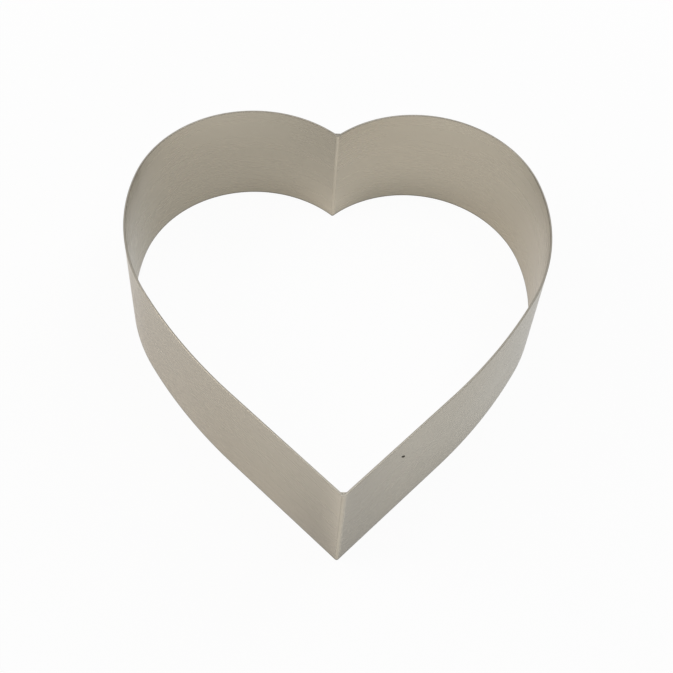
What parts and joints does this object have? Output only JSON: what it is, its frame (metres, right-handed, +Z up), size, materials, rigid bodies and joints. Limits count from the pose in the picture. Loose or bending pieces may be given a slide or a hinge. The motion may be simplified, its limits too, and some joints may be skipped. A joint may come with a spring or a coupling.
{
  "type": "heart cake ring",
  "caption": "Open heart-shaped cake ring of satin stainless strip on edge, welded at tip and cleft: it shapes, cuts or holds a cake, mousse or pastry while it sets.",
  "frame": {"origin": "in the plane of the lower rim, in the middle of the ring's width and of its length from tip to lobe tops", "axes": "+Z up, along the band's height; +Y along the centre line from the tip towards the cleft; +X to the right with the tip towards the viewer"},
  "size_m": [0.2, 0.2138, 0.06],
  "materials": {
    "strip": "satin stainless strip, fine grain along its length, slightly warm grey",
    "weld": "weld dressed flush with a fine belt, a little brighter than the strip"
  },
  "bodies": {
    "root": {"left_half_band": "strip", "right_half_band": "strip", "tip_weld": "weld", "cleft_weld": "weld"}
  },
  "joints": []
}
